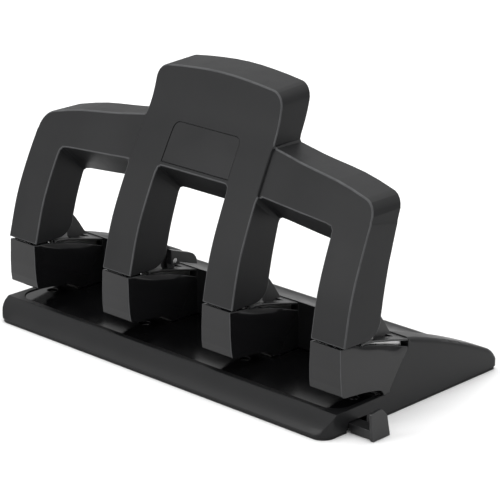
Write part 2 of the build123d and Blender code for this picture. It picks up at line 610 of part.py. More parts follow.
with BuildPart() as handle_rear_cover:
    add(handle_strip(REAR_CURVE, -REAR_COVER_RECESS - REAR_COVER_THICKNESS, -REAR_COVER_RECESS, 140.0,
                     REAR_COVER_START, HANDLE_TOP))
    add(cover_room, mode=Mode.INTERSECT)
    add(at_cover_screws(SCREW_RADIUS + 0.1, -10.0, 10.0), mode=Mode.SUBTRACT)
    add(at_cover_screws(SCREW_HEAD_RADIUS + 0.2, -COVER_SCREW_SINK, 10.0), mode=Mode.SUBTRACT)
save(handle_rear_cover.part, "handle_rear_cover")

with BuildPart() as cover_screws:
    add(at_cover_screws(SCREW_RADIUS, -COVER_SCREW_LENGTH, -COVER_SCREW_SINK))
    add(at_cover_screws(SCREW_HEAD_RADIUS, -COVER_SCREW_SINK, -COVER_SCREW_SINK + SCREW_HEAD_HEIGHT))
save(cover_screws.part, "cover_screws")

# ---------------------------------------------------------------- drive cams
LOBE_TIP = (46.9, 43.4)
LOBE_START = -26.0  # angles of the working face, from straight below the pivot
LOBE_END = 50.0
CAM_STEPS = 10
CAM_BACK = 29.8  # rear of the cam's arm, where its screw head bears


def cam_point(angle_deg):
    """Point of the lobe's working face, offset from the follower's path."""
    angle = math.radians(angle_deg)
    reach = FOLLOWER_REST + CAM_LIFT * angle
    slope = math.atan2(CAM_LIFT, reach)
    offset = FOLLOWER_RADIUS + CAM_PLAY
    across = reach * math.sin(angle) + offset * math.sin(slope - angle)
    down = reach * math.cos(angle) - offset * math.cos(slope - angle)
    return (PIVOT[0] + across, PIVOT[1] - down)


with BuildPart() as drive_cam:
    with BuildSketch(Plane.YZ.offset(-CAM_HALF)):
        with BuildLine():
            stride = (LOBE_END - LOBE_START) / CAM_STEPS
            face = Spline(*[at(*cam_point(LOBE_START + stride * step)) for step in range(CAM_STEPS + 1)])
            Polyline(face @ 1, at(*LOBE_TIP))
            back = Spline(at(*LOBE_TIP), at(43.2, 48.8), at(38.4, 55.7), at(32.6, 62.0))
            Polyline(back @ 1, at(28.4, 68.0), at(29.6, 90.0), at(19.6, 90.0), at(13.6, 64.0), face @ 0)
        make_face()
    extrude(amount=2 * CAM_HALF)
    # pad that bears on the inside of the leg's front wall
    with BuildPart(mode=Mode.PRIVATE) as pad:
        add(plan_block(2 * CAM_HALF, 4.0, 24.0, 0.5, CAM_SCREW_HEIGHT - 6.0, CAM_SCREW_HEIGHT + 6.0))
        add(handle_room.moved(Location((-HEAD_X[2], 0, 0))), mode=Mode.INTERSECT)
    add(pad.part)
    add(along_y(SCREW_RADIUS, 0.0, CAM_SCREW_HEIGHT, 5.0, 40.0), mode=Mode.SUBTRACT)
    add(along_x(SHAFT_RADIUS + SHAFT_PLAY, PIVOT, -20.0, 20.0), mode=Mode.SUBTRACT)
save_per_head(drive_cam.part, "drive_cam")

with BuildPart() as cam_screws:
    for x in HEAD_X:
        add(along_y(SCREW_RADIUS, x, CAM_SCREW_HEIGHT, CAM_SCREW_END + 0.2, CAM_BACK))
        add(along_y(SCREW_HEAD_RADIUS, x, CAM_SCREW_HEIGHT, CAM_BACK, CAM_BACK + SCREW_HEAD_HEIGHT))
save(cam_screws.part, "cam_screws")

# ---------------------------------------------------------------- sliding paper guide
GUIDE_INNER_END = 60.0
GUIDE_STEP = 131.4
GUIDE_TOP_IN = 5.4
STOP_OUTLINE = [(6.5, 0.3), (4.8, 16.3), (13.1, 17.1), (17.6, 12.3), (20.0, 0.3)]

with BuildPart() as paper_guide:
    bar_back = GUIDE_FRONT + GUIDE_WIDTH
    inner_bar = [(GUIDE_FRONT, 2.6), (bar_back, 2.6), (bar_back, GUIDE_TOP_IN), (GUIDE_FRONT, GUIDE_TOP_IN)]
    extrude(side_face(inner_bar, GUIDE_INNER_END), amount=STOP_INNER - GUIDE_INNER_END)
    outer_bar = [(GUIDE_FRONT, 0.4), (bar_back, 0.4), (bar_back, GUIDE_TOP_IN), (GUIDE_FRONT, GUIDE_TOP_IN)]
    extrude(side_face(outer_bar, GUIDE_STEP), amount=STOP_INNER - GUIDE_STEP)
    extrude(side_face(STOP_OUTLINE, STOP_INNER), amount=STOP_THICKNESS)
    corners = paper_guide.edges().filter_by(Axis.X).group_by(Axis.Z)[-1]
    corners += paper_guide.edges().filter_by(Axis.X).group_by(Axis.Z)[-2]
    fillet(corners, 1.2)
save(paper_guide.part, "paper_guide")
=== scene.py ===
import logging
import math
from dataclasses import dataclass, field
from enum import Enum
from typing import Callable, Iterable, Sequence

import bmesh
import bpy
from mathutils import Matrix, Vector


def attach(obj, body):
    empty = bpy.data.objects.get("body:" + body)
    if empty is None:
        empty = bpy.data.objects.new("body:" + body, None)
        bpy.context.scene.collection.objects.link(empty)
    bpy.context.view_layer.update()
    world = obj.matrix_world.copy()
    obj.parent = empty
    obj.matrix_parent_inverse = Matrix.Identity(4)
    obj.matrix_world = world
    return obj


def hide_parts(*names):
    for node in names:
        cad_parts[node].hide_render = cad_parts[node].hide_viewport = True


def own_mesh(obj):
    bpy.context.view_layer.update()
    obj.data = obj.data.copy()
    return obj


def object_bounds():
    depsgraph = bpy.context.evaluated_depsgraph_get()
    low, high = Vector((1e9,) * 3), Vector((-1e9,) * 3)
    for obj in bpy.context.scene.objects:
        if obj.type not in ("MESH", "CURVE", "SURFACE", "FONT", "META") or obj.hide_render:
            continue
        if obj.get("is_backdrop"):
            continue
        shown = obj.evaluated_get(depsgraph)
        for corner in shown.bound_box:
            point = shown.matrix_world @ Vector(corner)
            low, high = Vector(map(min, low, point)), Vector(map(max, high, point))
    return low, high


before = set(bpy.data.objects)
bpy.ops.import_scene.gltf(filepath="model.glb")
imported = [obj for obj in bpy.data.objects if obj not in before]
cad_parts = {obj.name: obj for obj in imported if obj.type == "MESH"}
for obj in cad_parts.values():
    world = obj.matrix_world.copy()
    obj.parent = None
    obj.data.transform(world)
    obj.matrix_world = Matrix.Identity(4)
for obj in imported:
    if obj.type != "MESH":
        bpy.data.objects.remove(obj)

logging.basicConfig(level=logging.INFO, format="%(message)s")
log = logging.getLogger("hole_punch")

MM = 0.001
Point = tuple[float, float]
Triple = tuple[float, float, float]
FRONT = -60.7  # y of the heads' front plane, in millimetres
HEAD_X = (-120.0, -40.0, 40.0, 120.0)
EDGE_HIGHLIGHT_MARK = "painted_edge_highlight"  # face attribute, 1 on rounded edges, where a lighter colour paints an edge highlight
SHARP = math.radians(28)  # edges that turn more than this can be rounded
MERGE = 1e-4  # vertices nearer than this are one, in millimetres
GENERATED_OUTPUT, OBJECT_OUTPUT = 0, 3  # outputs of the Texture Coordinate node
FACTOR_OUTPUT = 2  # output of the Attribute node
X, Y, Z = 0, 1, 2


# ---------------------------------------------------------------- shader expressions
class Channel:
    """A number socket whose arithmetic adds Math nodes."""

    def __init__(self, tree: "NodeBook", socket: bpy.types.NodeSocket) -> None:
        """Wrap a socket of a node tree."""
        self.tree = tree
        self.socket = socket

    def _math(self, operation: str, *terms: object) -> "Channel":
        """Add a Math node for an operation on terms."""
        values = {index: term for index, term in enumerate(terms)}
        return self.tree.add("ShaderNodeMath", {"operation": operation}, values)[0]

    def __add__(self, other: object) -> "Channel":
        """Sum."""
        return self._math("ADD", self, other)

    def __sub__(self, other: object) -> "Channel":
        """Difference."""
        return self._math("SUBTRACT", self, other)

    def __mul__(self, other: object) -> "Channel":
        """Product."""
        return self._math("MULTIPLY", self, other)

    def ramp(self, low: float, high: float, to_low: float = 0.0, to_high: float = 1.0) -> "Channel":
        """Map a range onto another, clamped.

        Args:
            low: value that maps to to_low.
            high: value that maps to to_high.
            to_low: result at and below low.
            to_high: result at and above high.

        Returns:
            The mapped channel.
        """
        values = {"Value": self, "From Min": low, "From Max": high, "To Min": to_low, "To Max": to_high}
        return self.tree.add("ShaderNodeMapRange", {"clamp": True}, values)[0]


class NodeBook:
    """Node tree of a material or a world, filled through a single method."""

    def __init__(self, owner: bpy.types.Material | bpy.types.World) -> None:
        """Empty the node tree of a material or a world.

        Args:
            owner: the material or world.
        """
        owner.use_nodes = True
        self.owner = owner
        self.nodes = owner.node_tree.nodes
        self.links = owner.node_tree.links
        self.nodes.clear()

    @classmethod
    def for_material(cls, name: str) -> "NodeBook":
        """Book of a new material of that name."""
        return cls(bpy.data.materials.new(name))

    def put(self, socket: bpy.types.NodeSocket, value: object) -> None:
        """Set a socket to a value, or link it to a channel.

        Args:
            socket: input of a node.
            value: plain value or channel.
        """
        if isinstance(value, Channel):
            self.links.new(value.socket, socket)
        else:
            socket.default_value = value

    def add(self, kind: str, settings: dict[str, object] | None = None,
            values: dict[object, object] | None = None) -> list[Channel]:
        """Add a node.

        Args:
            kind: node type.
            settings: properties, set before the sockets.
            values: socket name or index to value or channel.

        Returns:
            The node's outputs, as channels.
        """
        node = self.nodes.new(kind)
        for key, value in (settings or {}).items():
            setattr(node, key, value)
        for key, value in (values or {}).items():
            self.put(node.inputs[key], value)
        return [Channel(self, output) for output in node.outputs if output.enabled]

    def place(self, turn: Triple = (0, 0, 0), scale: Triple = (1, 1, 1)) -> Channel:
        """Object coordinates, turned and scaled by a Mapping node.

        Args:
            turn: rotation in radians.
            scale: scale along each axis.

        Returns:
            The coordinates.
        """
        spot = self.add("ShaderNodeTexCoord")[OBJECT_OUTPUT]
        return self.add("ShaderNodeMapping", {}, {"Vector": spot, "Rotation": turn, "Scale": scale})[0]

    def grain(self, spot: Channel, scale: float, detail: float = 3.0, roughness: float = 0.55) -> Channel:
        """Noise value at a place.

        Args:
            spot: coordinates.
            scale: noise cells per metre.
            detail: octaves.
            roughness: weight of the finer octaves.

        Returns:
            The noise value.
        """
        values = {"Vector": spot, "Scale": scale, "Detail": detail, "Roughness": roughness}
        return self.add("ShaderNodeTexNoise", {"noise_dimensions": "3D"}, values)[0]

    def blend(self, factor: Channel, first: object, second: object) -> Channel:
        """Mix two colours by a factor.

        Args:
            factor: share of the second colour.
            first: RGB triple or channel.
            second: RGB triple or channel.

        Returns:
            The mixed colour.
        """
        pair = [item if isinstance(item, Channel) else (*item, 1.0) for item in (first, second)]
        return self.add("ShaderNodeMix", {"data_type": "RGBA"}, {0: factor, 6: pair[0], 7: pair[1]})[0]

    def relief(self, height: Channel, depth: float, strength: float, edge: float) -> Channel:
        """Bump normal on top of softened edges.

        Args:
            height: relief height.
            depth: height in metres that 1.0 stands for.
            strength: share of the relief that shows.
            edge: radius in metres by which sharp edges look rounded.

        Returns:
            The normal.
        """
        soft = self.add("ShaderNodeBevel", {"samples": 4}, {"Radius": edge})[0]
        values = {"Height": height, "Distance": depth, "Strength": strength, "Normal": soft}
        return self.add("ShaderNodeBump", {}, values)[0]

    def painted_edge_highlight(self) -> Channel:
        """Mask of the painted edge highlight: 1 on the rounded edges of a piece, broken up a little.

        Returns:
            The mask.
        """
        mark = self.add("ShaderNodeAttribute", {"attribute_name": EDGE_HIGHLIGHT_MARK})[FACTOR_OUTPUT]
        # noise that breaks up the painted edge highlight
        painted_highlight = self.grain(self.place(), 160.0, 3.0)
        return mark * painted_highlight.ramp(0.2, 0.6, 0.6, 1.0)

    def surface(self, values: dict[object, object]) -> bpy.types.Material:
        """Finish the material with a Principled shader.

        Args:
            values: socket name to value or channel.

        Returns:
            The material.
        """
        shader = self.add("ShaderNodeBsdfPrincipled", {}, values)[0]
        self.add("ShaderNodeOutputMaterial", {}, {"Surface": shader})
        return self.owner


# ---------------------------------------------------------------- finishes
@dataclass(frozen=True)
class MouldedPlastic:
    """Plastic with a fine moulded grain, faint flow patches, slightly polished edges and a painted highlight
    along its rounded edges.
    """

    name: str
    tone: Triple
    shade: Triple
    roughness: float = 0.5
    specular: float = 0.5
    grain_scale: float = 2600.0
    grain_depth: float = 0.00003
    edge: float = 0.0006
    # colour of the painted highlight on rounded edges
    painted_highlight: Triple = (0.062, 0.063, 0.065)

    def make(self) -> bpy.types.Material:
        """Build the material.

        Returns:
            The new material.
        """
        book = NodeBook.for_material(self.name)
        spot = book.place()
        fine = book.grain(spot, self.grain_scale, 2.0)
        patch = book.grain(spot, 38.0, 4.0)
        rub = book.grain(spot, 210.0, 5.0, 0.65)
        # mask of the painted edge highlight, which also makes the edges a little less rough
        edge = book.painted_edge_highlight()
        dull = patch.ramp(0.3, 0.7, self.roughness - 0.05, self.roughness + 0.05)
        rough = dull + rub.ramp(0.55, 0.8) * 0.06 - edge * 0.12
        flow = book.blend(patch.ramp(0.3, 0.7), self.shade, self.tone)
        # the rounded edges take a lighter colour: a painted highlight
        colour = book.blend(edge, flow, self.painted_highlight)
        normal = book.relief(fine, self.grain_depth, 0.55, self.edge)
        return book.surface({"Base Color": colour, "Roughness": rough, "Normal": normal,
                             "Specular IOR Level": self.specular})


@dataclass(frozen=True)
class GlossPlastic:
    """Polished plastic with a clear sheen, faint haze, fine handling marks and a painted highlight along its
    rounded edges.
    """

    name: str
    tone: Triple
    roughness: float = 0.06
    specular: float = 0.5
    edge: float = 0.0004
    # colour of the painted highlight on rounded edges
    painted_highlight: Triple = (0.05, 0.051, 0.053)

    def make(self) -> bpy.types.Material:
        """Build the material.

        Returns:
            The new material.
        """
        book = NodeBook.for_material(self.name)
        spot = book.place()
        haze = book.grain(spot, 26.0, 3.0)
        streak = book.grain(book.place((0.2, 0.1, 0.5), (40.0, 900.0, 300.0)), 1.0, 3.0)
        marks = streak.ramp(0.62, 0.72) * haze.ramp(0.5, 0.7)
        rough = haze.ramp(0.35, 0.7, self.roughness * 0.7, self.roughness * 1.5) + marks * 0.08
        warm = tuple(channel * 1.35 + 0.001 for channel in self.tone)
        cloudy = book.blend(haze.ramp(0.3, 0.8), self.tone, warm)
        # the rounded edges take a lighter colour: a painted highlight
        colour = book.blend(book.painted_edge_highlight(), cloudy, self.painted_highlight)
        wave = book.grain(spot, 60.0, 1.0)
        normal = book.relief(wave, 0.00002, 0.25, self.edge)
        return book.surface({"Base Color": colour, "Roughness": rough, "Normal": normal,
                             "Specular IOR Level": self.specular})


@dataclass(frozen=True)
class WorkedMetal:
    """Metal with machining lines along one axis and slight staining."""

    name: str
    tone: Triple
    stain: Triple
    lines: Triple = (60.0, 60.0, 2400.0)
    roughness: float = 0.32
    metallic: float = 1.0
    edge: float = 0.0002

    def make(self) -> bpy.types.Material:
        """Build the material.

        Returns:
            The new material.
        """
        book = NodeBook.for_material(self.name)
        drawn = book.grain(book.place((0, 0, 0), self.lines), 1.0, 4.0)
        blotch = book.grain(book.place(), 120.0, 4.0)
        rough = blotch.ramp(0.3, 0.75, self.roughness - 0.07, self.roughness + 0.12)
        colour = book.blend(blotch.ramp(0.45, 0.8), self.tone, self.stain)
        normal = book.relief(drawn, 0.00002, 0.35, self.edge)
        return book.surface({"Base Color": colour, "Roughness": rough, "Metallic": self.metallic,
                             "Normal": normal})


@dataclass(frozen=True)
class SoftRubber:
    """Matt rubber with a dusty skin."""

    name: str
    tone: Triple = (0.035, 0.035, 0.036)

    def make(self) -> bpy.types.Material:
        """Build the material.

        Returns:
            The new material.
        """
        book = NodeBook.for_material(self.name)
        spot = book.place()
        dust = book.grain(spot, 300.0, 5.0, 0.7)
        colour = book.blend(dust.ramp(0.5, 0.85), self.tone, (0.11, 0.11, 0.108))
        normal = book.relief(book.grain(spot, 1500.0), 0.00005, 0.5, 0.0003)
        rough = dust.ramp(0.3, 0.8, 0.72, 0.92)
        return book.surface({"Base Color": colour, "Roughness": rough, "Normal": normal})


class Finish(Enum):
    """The finishes of the punch."""

    HANDLE = MouldedPlastic("handle_grey", (0.0135, 0.0137, 0.0143), (0.0105, 0.0107, 0.0112),
                            roughness=0.44, specular=0.16)
    HANDLE_BACK = MouldedPlastic("handle_back_grey", (0.010, 0.0102, 0.0107), (0.008, 0.0082, 0.0086),
                                 roughness=0.52, specular=0.16)
    LABEL = MouldedPlastic("label_satin", (0.0125, 0.0127, 0.0133), (0.0105, 0.0107, 0.0112),
                           roughness=0.33, specular=0.18, grain_scale=900.0, grain_depth=0.00001)
    BASE = MouldedPlastic("base_black", (0.0085, 0.0087, 0.0092), (0.0065, 0.0067, 0.0072),
                          roughness=0.38, specular=0.2)
    UNDERSIDE = MouldedPlastic("underside_black", (0.010, 0.010, 0.0105), (0.008, 0.008, 0.0084),
                               roughness=0.55, specular=0.2)
    DECK = MouldedPlastic("deck_satin", (0.011, 0.0112, 0.0117), (0.009, 0.0092, 0.0096),
                          roughness=0.34, specular=0.35)
    COVER = GlossPlastic("cover_piano_black", (0.006, 0.006, 0.0065), roughness=0.13, specular=0.3)
    TABLE = GlossPlastic("table_gloss_black", (0.0018, 0.0018, 0.002), roughness=0.13, specular=0.22)
    CAM = WorkedMetal("cam_lacquer", (0.0085, 0.0085, 0.009), (0.011, 0.011, 0.0112),
                      lines=(500.0, 60.0, 60.0), roughness=0.46, metallic=0.0)
    SHEET = WorkedMetal("pressed_sheet", (0.5, 0.5, 0.5), (0.4, 0.395, 0.385))
    SHAFT = WorkedMetal("ground_shaft", (0.62, 0.62, 0.62), (0.5, 0.5, 0.49),
                        lines=(1800.0, 60.0, 60.0), roughness=0.22)
    PUNCH = WorkedMetal("hardened_punch", (0.66, 0.66, 0.66), (0.55, 0.55, 0.54), roughness=0.16)
    SPRING = WorkedMetal("spring_wire", (0.45, 0.45, 0.46), (0.35, 0.34, 0.33),
                         lines=(200.0, 200.0, 200.0), roughness=0.28)
    SCREW = WorkedMetal("zinc_screw", (0.55, 0.56, 0.57), (0.42, 0.42, 0.4),
                        lines=(900.0, 900.0, 60.0), roughness=0.3)
    RUBBER = SoftRubber("foot_rubber")


class Wardrobe:
    """Makes each finish once and puts it on objects."""

    def __init__(self) -> None:
        """Start with no material made."""
        self.made: dict[Finish, bpy.types.Material] = {}

    def material(self, finish: Finish) -> bpy.types.Material:
        """The material of a finish, made at its first use.

        Args:
            finish: the finish.

        Returns:
            Its material.
        """
        if finish not in self.made:
            self.made[finish] = finish.value.make()
        return self.made[finish]

    def dress(self, thing: bpy.types.Object, finish: Finish) -> bpy.types.Object:
        """Give an object one finish.

        Args:
            thing: the object.
            finish: its finish.

        Returns:
            The same object.
        """
        material = self.material(finish)
        if not thing.data.materials:
            thing.data.materials.append(material)
        for index in range(len(thing.data.materials)):
            thing.data.materials[index] = material
        return thing


# ---------------------------------------------------------------- mesh making
def interpolate(curve: Sequence[Point], height: float) -> float:
    """Smooth value of a curve of (value, height) points at a height.

    Args:
        curve: points with rising heights.
        height: height to read at.

    Returns:
        Catmull-Rom value, held at the ends.
    """
    if height <= curve[0][1]:
        return curve[0][0]
    if height >= curve[-1][1]:
        return curve[-1][0]
    index = max(i for i, point in enumerate(curve[:-1]) if point[1] <= height)
    before = curve[max(index - 1, 0)]
    low, high = curve[index], curve[index + 1]
    after = curve[min(index + 2, len(curve) - 1)]
    span = high[1] - low[1]
    share = (height - low[1]) / span
    tilt_low = (high[0] - before[0]) / (high[1] - before[1]) * span
    tilt_high = (after[0] - low[0]) / (after[1] - low[1]) * span
    square, cube = share * share, share ** 3
    return ((2 * cube - 3 * square + 1) * low[0] + (cube - 2 * square + share) * tilt_low
            + (3 * square - 2 * cube) * high[0] + (cube - square) * tilt_high)


def arc(centre: Point, radius: float, angles: Iterable[float]) -> list[Point]:
    """Points on a circle.

    Args:
        centre: its centre.
        radius: its radius.
        angles: degrees from the first axis.

    Returns:
        The points.
    """
    turns = [math.radians(angle) for angle in angles]
    return [(centre[0] + radius * math.cos(turn), centre[1] + radius * math.sin(turn)) for turn in turns]


def mirrored(points: Sequence[Point]) -> list[Point]:
    """Points on the other side of the middle plane, in reverse order."""
    return [(-x, height) for x, height in points[::-1]]


def span(edge: bmesh.types.BMEdge, axis: int) -> Point:
    """Lowest and highest coordinate of an edge along an axis."""
    first, second = (vert.co[axis] for vert in edge.verts)
    return min(first, second), max(first, second)


def clamp(value: float) -> float:
    """The value, held between 0 and 1."""
    return max(0.0, min(1.0, value))


def ease(share: float) -> float:
    """Smooth step of a share between 0 and 1."""
    return share * share * (3 - 2 * share)


class Workpiece:
    """A bmesh in millimetres that becomes one object in metres."""

    def __init__(self) -> None:
        """Start empty."""
        self.bm = bmesh.new()

    def outline(self, points: Iterable[Triple]) -> list[bmesh.types.BMEdge]:
        """Closed loop of edges through points.

        Args:
            points: corners in order.

        Returns:
            The edges.
        """
        corners = [self.bm.verts.new(point) for point in points]
        return [self.bm.edges.new((a, b)) for a, b in zip(corners, corners[1:] + corners[:1])]

    def fill(self, edges: list[bmesh.types.BMEdge]) -> list[bmesh.types.BMFace]:
        """Flat faces inside a closed loop.

        Args:
            edges: the loop.

        Returns:
            The faces.
        """
        made = bmesh.ops.triangle_fill(self.bm, use_beauty=True, use_dissolve=True, edges=edges)
        return [item for item in made["geom"] if isinstance(item, bmesh.types.BMFace)]

    def raise_faces(self, faces: list[bmesh.types.BMFace], by: Triple) -> None:
        """Extrude faces into a closed solid.

        Args:
            faces: faces in one plane.
            by: way and length of the extrusion.
        """
        made = bmesh.ops.extrude_face_region(self.bm, geom=faces, use_keep_orig=True)
        verts = [item for item in made["geom"] if isinstance(item, bmesh.types.BMVert)]
        bmesh.ops.translate(self.bm, vec=Vector(by), verts=verts)
        bmesh.ops.recalc_face_normals(self.bm, faces=self.bm.faces[:])

    def block(self, points: Sequence[Point], plane: str, start: float, depth: float) -> None:
        """Straight prism.

        Args:
            points: outline; (y, z) on plane "YZ", (x, z) on "XZ".
            plane: plane of the outline.
            start: place of the outline along the third axis.
            depth: signed length along it.
        """
        lift = {"YZ": lambda a, b: (start, a, b), "XZ": lambda a, b: (a, start, b)}
        move = {"YZ": (depth, 0, 0), "XZ": (0, depth, 0)}
        edges = self.outline(lift[plane](a, b) for a, b in points)
        self.raise_faces(self.fill(edges), move[plane])

    def slice_along(self, axis: int, places: Iterable[float]) -> None:
        """Cut the mesh's faces at places along an axis.

        Args:
            axis: 0, 1 or 2 for X, Y or Z.
            places: where to cut.
        """
        normal = Vector([1.0 if i == axis else 0.0 for i in range(3)])
        for place in places:
            geometry = self.bm.verts[:] + self.bm.edges[:] + self.bm.faces[:]
            bmesh.ops.bisect_plane(self.bm, geom=geometry, dist=1e-5, plane_co=normal * place,
                                   plane_no=normal)

    def soften(self, chosen: Callable[[bmesh.types.BMEdge], bool], radius: float, segments: int) -> None:
        """Round the sharp edges that a test picks, and mark the new faces for the painted edge highlight.

        Args:
            chosen: test of an edge.
            radius: edge radius.
            segments: facets across each rounded edge.
        """
        layers = self.bm.faces.layers.float
        mark = layers.get(EDGE_HIGHLIGHT_MARK) or layers.new(EDGE_HIGHLIGHT_MARK)
        sharp = [e for e in self.bm.edges if e.is_manifold and e.calc_face_angle(0.0) > SHARP and chosen(e)]
        made = bmesh.ops.bevel(self.bm, geom=sharp, offset=radius, offset_type="OFFSET", segments=segments,
                               profile=0.5, affect="EDGES", clamp_overlap=True, material=-1)
        # faces marked here get a painted highlight in their material
        for face in made["faces"]:
            face[mark] = 1.0

    def bend(self, rule: Callable[[Vector], Vector]) -> None:
        """Move each vertex by a rule from old place to new."""
        for vert in self.bm.verts:
            vert.co = rule(vert.co)

    def finish(self, name: str, shift: Triple = (0, 0, 0), crease: float = 32.0) -> bpy.types.Object:
        """Merge, turn faces outwards and make the object.

        Args:
            name: object name.
            shift: move in millimetres.
            crease: edges sharper than this many degrees stay sharp.

        Returns:
            The object, at the origin, its place in its mesh.
        """
        bmesh.ops.remove_doubles(self.bm, verts=self.bm.verts[:], dist=MERGE)
        bmesh.ops.recalc_face_normals(self.bm, faces=self.bm.faces[:])
        bmesh.ops.translate(self.bm, vec=Vector(shift), verts=self.bm.verts[:])
        bmesh.ops.scale(self.bm, vec=Vector((MM, MM, MM)), verts=self.bm.verts[:])
        mesh = bpy.data.meshes.new(name)
        self.bm.to_mesh(mesh)
        self.bm.free()
        mesh.shade_smooth()
        mesh.set_sharp_from_angle(angle=math.radians(crease))
        thing = bpy.data.objects.new(name, mesh)
        bpy.context.scene.collection.objects.link(thing)
        return thing


def cut_away(body: bpy.types.Object, tools: list[bpy.types.Object], crease: float = 32.0) -> bpy.types.Object:
    """Cut tools out of a body, and remove the tools.

    Args:
        body: object that changes.
        tools: objects that cut it.
        crease: edges sharper than this many degrees stay sharp.

    Returns:
        The body, with a new mesh.
    """
    for tool in tools:
        step = body.modifiers.new("cut", "BOOLEAN")
        step.operation = "DIFFERENCE"
        step.solver = "EXACT"
        step.object = tool
    bpy.context.view_layer.update()
    result = bpy.data.meshes.new_from_object(body.evaluated_get(bpy.context.evaluated_depsgraph_get()))
    body.modifiers.clear()
    body.data = result
    result.shade_smooth()
    result.set_sharp_from_angle(angle=math.radians(crease))
    for tool in tools:
        bpy.data.objects.remove(tool)
    return body


def copied(node: str) -> Workpiece:
    """Merged copy of a CAD piece, in millimetres.

    Args:
        node: CAD node.

    Returns:
        The copy.
    """
    piece = Workpiece()
    piece.bm.from_mesh(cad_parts[node].data)
    bmesh.ops.scale(piece.bm, vec=Vector((1 / MM, 1 / MM, 1 / MM)), verts=piece.bm.verts[:])
    bmesh.ops.remove_doubles(piece.bm, verts=piece.bm.verts[:], dist=MERGE)
    bmesh.ops.dissolve_limit(piece.bm, angle_limit=math.radians(0.6), use_dissolve_boundaries=False,
                             verts=piece.bm.verts[:], edges=piece.bm.edges[:])
    return piece


def swap_in(thing: bpy.types.Object, body: str, nodes: Sequence[str]) -> None:
    """Let a finished piece ride on a body in place of CAD nodes, its flat faces shaded flat.

    Args:
        thing: the finished piece.
        body: CAD body that it rides on.
        nodes: CAD nodes that it replaces.
    """
    even = thing.modifiers.new("even_shading", "WEIGHTED_NORMAL")
    even.keep_sharp = True
    even.weight = 90
    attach(thing, body)
    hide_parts(*nodes)


